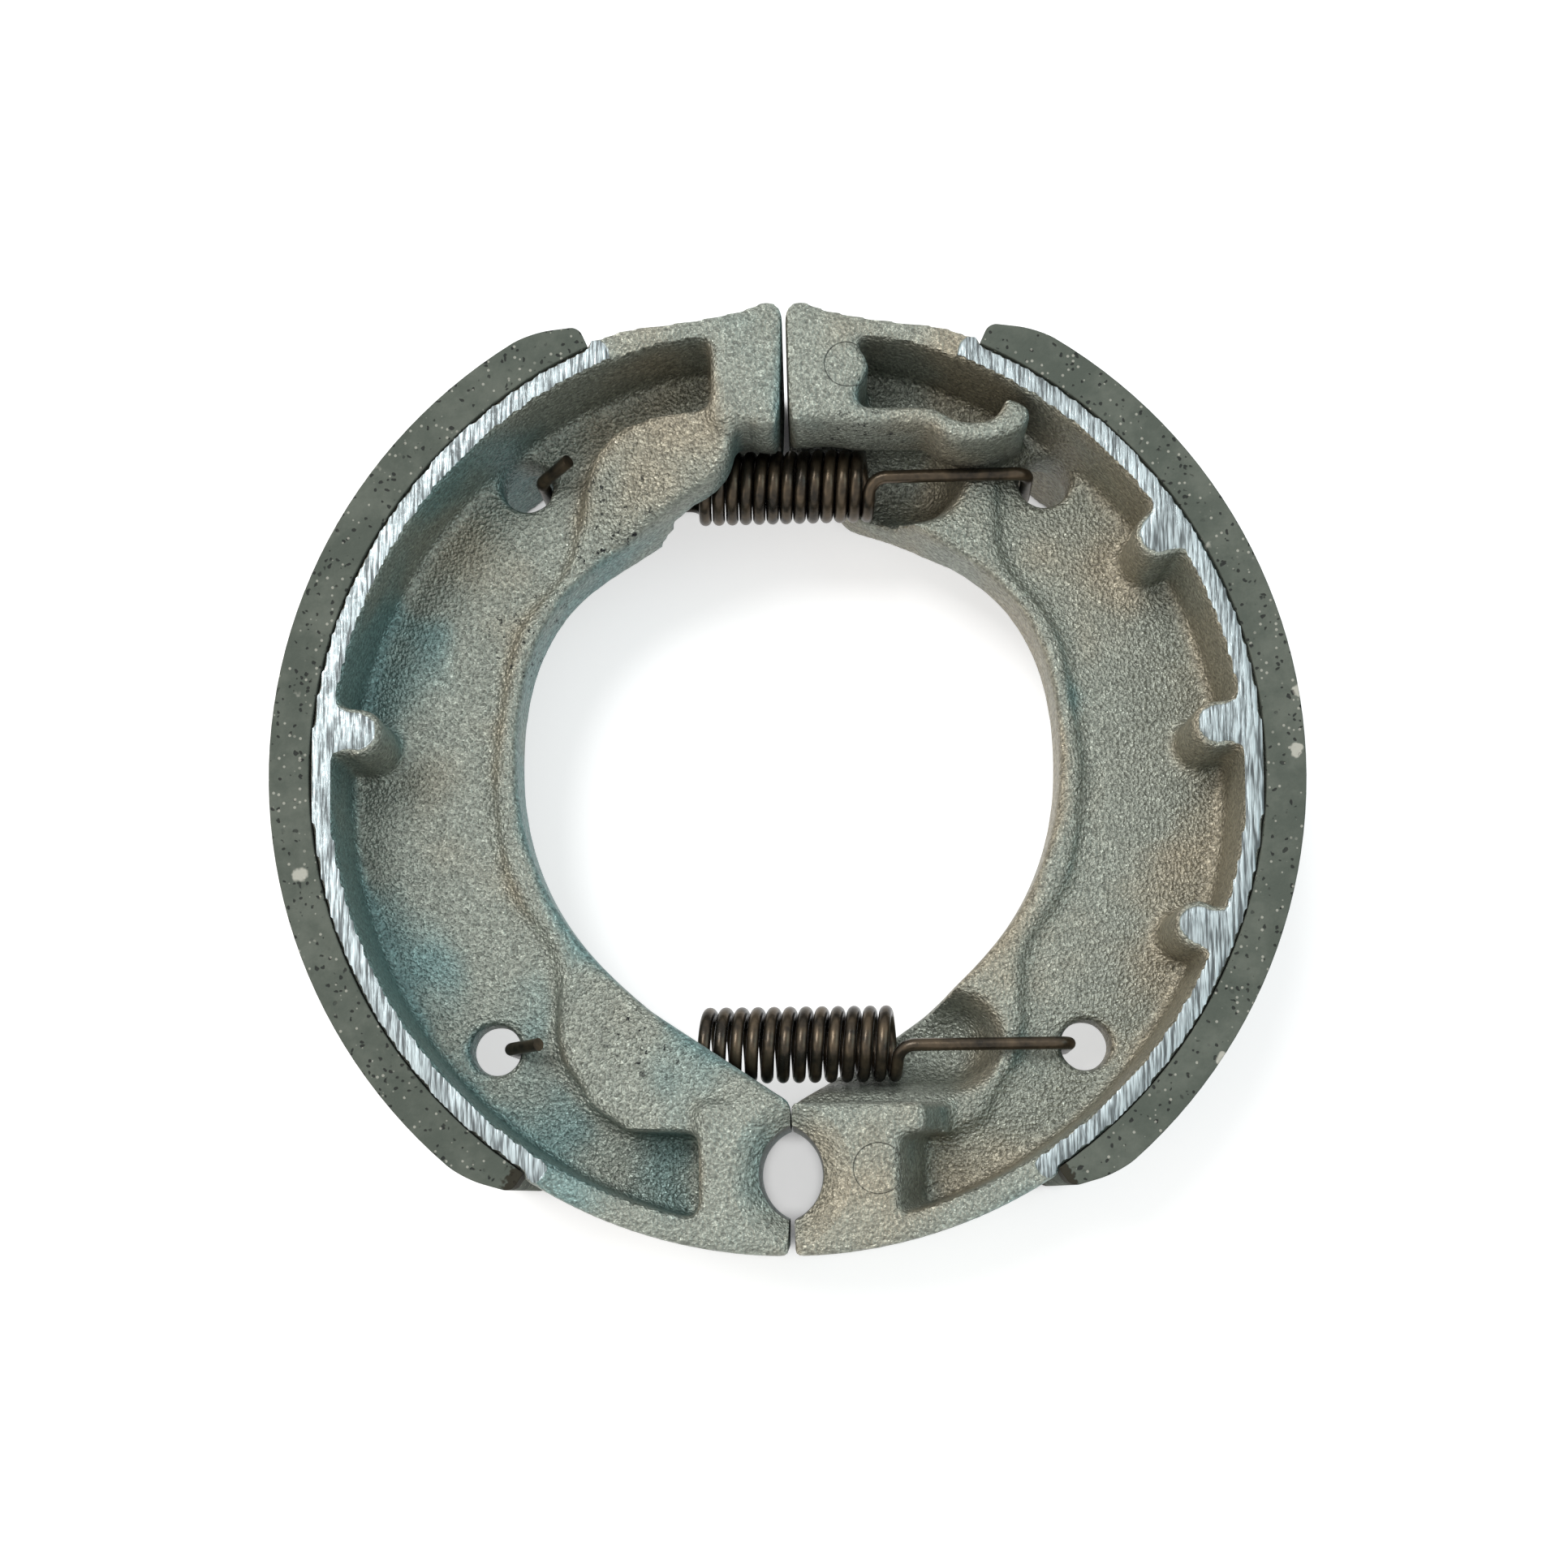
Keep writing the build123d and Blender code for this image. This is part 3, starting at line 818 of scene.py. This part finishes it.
@dataclass
class CastBody:
    """The visible casting of one shoe: the CAD's casting with the soft edges of a real one.

    Sizes are in millimetres, and places are those of the right shoe. A round of softening
    takes each point a share of the way to its neighbours, and less at a crisp edge.
    """

    side: Side
    voxel: float = 0.5
    rounds: int = 9
    soft_share: float = 0.5
    crisp_share: float = 0.1
    rim_radius: float = 47.2
    face_margin: float = 1.0
    gap_reach: float = 1.3
    sharp_angle: float = 34.0
    notch_fill: tuple = ((0.42, -49.5), (9.0, -49.5), (9.0, -35.2), (0.2, -35.2), (0.2, -45.5))
    notch_centre: tuple = (-2.04, -42.25)
    notch_profile: tuple = ((0, 13.0), (9.8, 13.0), (8.3, 12.3), (6.8, 11.6), (6.8, 11.25),
                            (6.65, 11.2), (5.5, 10.3), (5.5, -10.3), (6.65, -11.2),
                            (6.8, -11.25), (6.8, -11.6), (8.3, -12.3), (9.8, -13.0), (0, -13.0))
    notch_steps: int = 96
    web_side: float = 2.0
    pad_level: float = 12.3
    boss: tuple = (6.7, 43.75)
    boss_radius: float = 2.36
    boss_turn: int = 6
    nose_fill: tuple = ((2.65, 50.6), (3.4, 50.22), (4.4, 49.86), (5.6, 49.58), (7.0, 49.3),
                        (8.6, 48.98), (8.6, 47.9), (1.9, 48.5))

    def build(self, material: bpy.types.Material) -> bpy.types.Object:
        """Builds the casting and puts it in the CAD node's place.

        Args:
            material: The casting's finish.

        Returns:
            The casting.
        """
        node = f"{self.side.word}_casting"
        shape = bmesh.new()
        shape.from_mesh(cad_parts[node].data)
        turn = Matrix.Rotation(0.0 if self.side is Side.RIGHT else math.pi, 4, "Y")
        for outline in (self.nose_fill, self.notch_fill):
            self.add_prism(shape, outline, -self.pad_level, self.pad_level, turn)
        circle = [(self.boss[0] + self.boss_radius * math.cos(math.radians(a)),
                   self.boss[1] + self.boss_radius * math.sin(math.radians(a)))
                  for a in range(0, 360, self.boss_turn)]
        self.add_prism(shape, circle, self.web_side, self.pad_level, turn)
        rough = bpy.data.meshes.new(f"{node}_rough")
        shape.to_mesh(rough)
        shape.free()
        piece = bpy.data.objects.new(f"{self.side.word}_shoe_casting",
                                     self.soften(rough, self.notch(turn)))
        bpy.context.scene.collection.objects.link(piece)
        piece.data.materials.clear()
        piece.data.materials.append(material)
        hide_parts(node)
        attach(piece, f"{self.side.word}_shoe")
        log.info("built the %s casting with %d faces", self.side.word, len(piece.data.polygons))
        return piece

    @staticmethod
    def add_prism(shape: bmesh.types.BMesh, outline: tuple | list, low: float, high: float,
                  turn: Matrix) -> None:
        """Adds an upright prism to a shape.

        Args:
            shape: The shape.
            outline: The prism's outline, as pairs of X and Y.
            low: Its lower level.
            high: Its upper level.
            turn: The turn that brings it to its shoe.
        """
        rings = [[shape.verts.new(turn @ Vector((x * MM, y * MM, level * MM))) for x, y in outline]
                 for level in (low, high)]
        faces = [shape.faces.new(ring) for ring in rings]
        count = len(outline)
        for i in range(count):
            j = (i + 1) % count
            faces.append(shape.faces.new((rings[0][i], rings[0][j], rings[1][j], rings[1][i])))
        bmesh.ops.recalc_face_normals(shape, faces=faces)

    def notch(self, turn: Matrix) -> bpy.types.Object:
        """Makes the cutter for the anchor notch and the stepped bevels around it.

        Args:
            turn: The turn that brings it to its shoe.

        Returns:
            The cutter.
        """
        shape = bmesh.new()
        line = [shape.verts.new((radius * MM, 0, level * MM))
                for radius, level in self.notch_profile]
        edges = [shape.edges.new(pair) for pair in zip(line, line[1:])]
        bmesh.ops.spin(shape, geom=line + edges, axis=(0, 0, 1), cent=(0, 0, 0),
                       angle=math.tau, steps=self.notch_steps, use_merge=True)
        bmesh.ops.remove_doubles(shape, verts=shape.verts, dist=WELD)
        bmesh.ops.recalc_face_normals(shape, faces=shape.faces)
        centre = Vector((*self.notch_centre, 0)) * MM
        bmesh.ops.transform(shape, matrix=turn @ Matrix.Translation(centre), verts=shape.verts)
        mesh = bpy.data.meshes.new("notch")
        shape.to_mesh(mesh)
        shape.free()
        cutter = bpy.data.objects.new("notch", mesh)
        bpy.context.scene.collection.objects.link(cutter)
        return cutter

    def soften(self, rough: bpy.types.Mesh, cutter: bpy.types.Object) -> bpy.types.Mesh:
        """Joins a mesh's overlapping solids, rounds the edges, and cuts the notch.

        Args:
            rough: The mesh.
            cutter: The notch's cutter, which is used up.

        Returns:
            The softened mesh.
        """
        holder = bpy.data.objects.new("holder", rough)
        bpy.context.scene.collection.objects.link(holder)
        remesh = holder.modifiers.new("remesh", "REMESH")
        remesh.mode = "VOXEL"
        remesh.voxel_size = self.voxel * MM
        remesh.use_smooth_shade = True
        holder.data = self.result(holder)
        holder.modifiers.clear()
        self.relax(holder.data)
        cut = holder.modifiers.new("notch", "BOOLEAN")
        cut.operation = "DIFFERENCE"
        cut.solver = "EXACT"
        cut.object = cutter
        mesh = self.result(holder)
        mesh.set_sharp_from_angle(angle=math.radians(self.sharp_angle))
        bpy.data.objects.remove(holder)
        bpy.data.objects.remove(cutter)
        return mesh

    @staticmethod
    def result(holder: bpy.types.Object) -> bpy.types.Mesh:
        """Works out an object's mesh with its modifiers."""
        ready = holder.evaluated_get(bpy.context.evaluated_depsgraph_get())
        return bpy.data.meshes.new_from_object(ready)

    def relax(self, mesh: bpy.types.Mesh) -> None:
        """Moves each point towards its neighbours, a few times.

        The machined edge of the rim and the two pads' faces at the gap move less.

        Args:
            mesh: The mesh.
        """
        count = len(mesh.vertices)
        flat = np.empty(count * 3)
        mesh.vertices.foreach_get("co", flat)
        places = flat.reshape(-1, 3)
        ends = np.empty(len(mesh.edges) * 2, dtype=np.int64)
        mesh.edges.foreach_get("vertices", ends)
        ends = ends.reshape(-1, 2)
        here = np.concatenate((ends[:, 0], ends[:, 1]))
        there = np.concatenate((ends[:, 1], ends[:, 0]))
        neighbours = np.bincount(here, minlength=count)[:, None]
        near_face = np.abs(places[:, 2]) > (self.pad_level - self.face_margin) * MM
        on_rim = np.hypot(places[:, 0], places[:, 1]) > self.rim_radius * MM
        at_gap = np.abs(places[:, 0]) < self.gap_reach * MM
        crisp = (near_face & on_rim) | at_gap
        share = np.where(crisp, self.crisp_share, self.soft_share)[:, None]
        for _ in range(self.rounds):
            total = np.stack([np.bincount(here, places[there, axis], count) for axis in range(3)],
                             axis=1)
            places += share * (total / neighbours - places)
        mesh.vertices.foreach_set("co", places.ravel())
        mesh.update()


@dataclass
class LiningBlock:
    """The visible lining of one shoe: the CAD's block, rounded at the corners of its ends.

    Sizes are in millimetres.
    """

    side: Side
    hump_radius: float = 54.5
    hump_round: float = 2.2
    tip_radius: float = 52.7
    tip_round: float = 0.9
    radius_margin: float = 0.05
    segments: int = 6
    flat_angle: float = 0.4
    upright_share: float = 0.9
    corner_angle: float = 15.0
    sharp_angle: float = 40.0

    def build(self, material: bpy.types.Material) -> bpy.types.Object:
        """Builds the lining and puts it in the CAD node's place.

        Args:
            material: The lining's finish.

        Returns:
            The lining.
        """
        node = f"{self.side.word}_lining"
        shape = bmesh.new()
        shape.from_mesh(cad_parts[node].data)
        bmesh.ops.remove_doubles(shape, verts=shape.verts, dist=WELD)
        bmesh.ops.dissolve_limit(shape, angle_limit=math.radians(self.flat_angle),
                                 verts=shape.verts, edges=shape.edges)
        for radius, size in ((self.hump_radius, self.hump_round),
                             (self.tip_radius, self.tip_round)):
            corners = [edge for edge in shape.edges if self.is_corner(edge, radius)]
            bmesh.ops.bevel(shape, geom=corners, offset=size * MM, segments=self.segments,
                            profile=0.5, affect="EDGES")
        mesh = bpy.data.meshes.new(f"{node}_block")
        shape.to_mesh(mesh)
        shape.free()
        mesh.shade_smooth()
        mesh.set_sharp_from_angle(angle=math.radians(self.sharp_angle))
        mesh.materials.append(material)
        piece = bpy.data.objects.new(f"{self.side.word}_lining_block", mesh)
        bpy.context.scene.collection.objects.link(piece)
        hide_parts(node)
        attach(piece, f"{self.side.word}_shoe")
        log.info("built the %s lining with %d faces", self.side.word, len(mesh.polygons))
        return piece

    def is_corner(self, edge: bmesh.types.BMEdge, radius: float) -> bool:
        """Tells the upright edge of a corner from the rest.

        Args:
            edge: The edge.
            radius: The corner's distance from the drum's axis.

        Returns:
            Whether the edge stands at that distance and turns enough.
        """
        low, high = (end.co for end in edge.verts)
        upright = abs(high.z - low.z) > self.upright_share * (high - low).length
        at_radius = abs(math.hypot(low.x, low.y) - radius * MM) < self.radius_margin * MM
        turns = edge.calc_face_angle(0) > math.radians(self.corner_angle)
        return upright and at_radius and turns


@dataclass
class Shoe:
    """One shoe: its casting and its lining."""

    side: Side
    cast: CastFinish = field(default_factory=CastFinish)
    lining: LiningFinish = field(default_factory=LiningFinish)

    def build(self) -> None:
        """Builds the casting and the lining."""
        CastBody(self.side).build(self.cast.material(self.side))
        LiningBlock(self.side).build(self.lining.material())


@dataclass
class ReturnSpring:
    """A return spring. Its coil stretches between the two shoes, and its hooks stay in them.

    The coil's two ends are given by their X, in millimetres. Nothing reads them.
    """

    node: str
    name: str
    coil_low: float
    coil_high: float
    wire: WireFinish = field(default_factory=WireFinish)

    def build(self) -> bpy.types.Object:
        """Copies the CAD's wire into a piece of its own.

        Returns:
            The spring.
        """
        piece = bpy.data.objects.new(self.name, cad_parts[self.node].data.copy())
        bpy.context.scene.collection.objects.link(piece)
        piece.data.materials.clear()
        piece.data.materials.append(self.wire.material())
        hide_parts(self.node)
        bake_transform(piece)
        log.info("built %s", self.name)
        return piece


@dataclass(frozen=True)
class Lamp:
    """A soft, far lamp that lights everything at one level. Its spread is in degrees."""

    name: str
    towards: tuple
    strength: float
    spread: float
    colour: tuple = (1, 1, 1)

    def build(self) -> bpy.types.Object:
        """Hangs the lamp.

        Returns:
            The lamp.
        """
        light = bpy.data.lights.new(self.name, "SUN")
        light.energy = self.strength
        light.angle = math.radians(self.spread)
        light.color = self.colour
        lamp = bpy.data.objects.new(self.name, light)
        lamp.rotation_euler = Vector(self.towards).to_track_quat("-Z", "Y").to_euler()
        bpy.context.scene.collection.objects.link(lamp)
        return lamp


@dataclass
class Studio:
    """The floor, the lamps, the world and the camera.

    Sizes are in millimetres, unless a name says pixels, and angles are in degrees.
    """

    floor_level: float = -12.5
    floor_reach: float = 3000.0
    floor_colour: tuple = (0.72, 0.72, 0.72, 1)
    floor_lift: float = 0.6
    # Painted shade on the floor: where it lies this close under a surface, it does not glow.
    slit_depth: float = 3.0
    slit_step: tuple = (0.25, 0.6)
    ambient: float = 0.5
    lamps: tuple = (
        Lamp("key_lamp", (0.42, -0.42, -1.0), 1.6, 26),
        Lamp("cool_lamp", (-0.9, -0.15, -0.75), 0.4, 40, (0.62, 0.93, 1.0)),
        Lamp("warm_lamp", (0.9, 0.3, -0.7), 0.35, 40, (1.0, 0.86, 0.7)),
    )
    focal_pixels: float = 2364.7
    frame_pixels: float = 1932.0
    sensor: float = 36.0
    shift: tuple = (-0.016, 0.1946)
    camera_place: tuple = (1.83, -44.67, 211.88)
    camera_tilt: float = 3.2
    camera_roll: float = -0.55
    camera_near: float = 10.0

    def build(self) -> None:
        """Builds the whole studio."""
        self.lay_floor()
        for lamp in self.lamps:
            lamp.build()
        self.set_world()
        self.set_camera()
        bpy.context.scene.view_settings.view_transform = "Standard"
        log.info("studio ready")

    def lay_floor(self) -> None:
        """Lays a pale floor that keeps the shoes' shadow; in a slit and along close contact it
        drops its glow, which paints shade there.
        """
        reach, level = self.floor_reach * MM, self.floor_level * MM
        mesh = bpy.data.meshes.new("floor")
        corners = [(-reach, -reach, level), (reach, -reach, level),
                   (reach, reach, level), (-reach, reach, level)]
        mesh.from_pydata(corners, [], [(0, 1, 2, 3)])
        floor = bpy.data.objects.new("floor", mesh)
        bpy.context.scene.collection.objects.link(floor)
        material, sheet = new_sheet("pale_floor")
        matte = sheet.add("ShaderNodeBsdfDiffuse", inputs={"Color": self.floor_colour})
        glow = sheet.add("ShaderNodeEmission", inputs={
            "Color": (1, 1, 1, 1), "Strength": self.floor_lift})
        both = sheet.add("ShaderNodeAddShader", inputs={0: matte["BSDF"], 1: glow["Emission"]})
        # Painted shade: the glow is dropped in slits and along close contact.
        open_air = sheet.openness(self.slit_depth).step(*self.slit_step)
        surface = sheet.add("ShaderNodeMixShader", inputs={
            0: self.seen_directly(sheet) * open_air, 1: matte["BSDF"], 2: both["Shader"]})
        sheet.add("ShaderNodeOutputMaterial", inputs={"Surface": surface["Shader"]})
        mesh.materials.append(material)

    @staticmethod
    def seen_directly(sheet: Sheet) -> Value:
        """1 for rays that the camera, a gloss or a glass sends, and 0 for the rest.

        Args:
            sheet: The sheet in hand.

        Returns:
            The value.
        """
        path = sheet.add("ShaderNodeLightPath")
        return path["Is Camera Ray"].at_least(path["Is Glossy Ray"]).at_least(
            path["Is Transmission Ray"])

    def set_world(self) -> None:
        """Makes the world white to look at, and a plain soft light for the rest."""
        world = bpy.data.worlds.new("studio_world")
        world.use_nodes = True
        sheet = Sheet(world.node_tree)
        seen = self.seen_directly(sheet)
        back = sheet.add("ShaderNodeBackground", inputs={
            "Color": (1, 1, 1, 1), "Strength": self.ambient + (1.0 - self.ambient) * seen})
        sheet.add("ShaderNodeOutputWorld", inputs={"Surface": back["Background"]})
        bpy.context.scene.world = world

    def set_camera(self) -> None:
        """Places the camera where the photograph was taken from."""
        data = bpy.data.cameras.new("camera")
        data.sensor_width = self.sensor
        data.lens = self.focal_pixels / self.frame_pixels * self.sensor
        data.shift_x, data.shift_y = self.shift
        data.clip_start = self.camera_near * MM
        camera = bpy.data.objects.new("camera", data)
        camera.location = Vector(self.camera_place) * MM
        camera.rotation_euler = (math.radians(self.camera_tilt), 0, math.radians(self.camera_roll))
        bpy.context.scene.collection.objects.link(camera)
        bpy.context.scene.camera = camera


def main() -> None:
    """Builds the set and its studio, in order."""
    logging.basicConfig(level=logging.INFO, format="%(name)s %(message)s")
    for side in Side:
        Shoe(side).build()
    ReturnSpring("upper_spring", "upper_return_spring", coil_low=-9.4, coil_high=9.4).build()
    ReturnSpring("lower_spring", "lower_return_spring", coil_low=-10.0, coil_high=11.7).build()
    Studio().build()


if __name__ == "__main__":
    main()
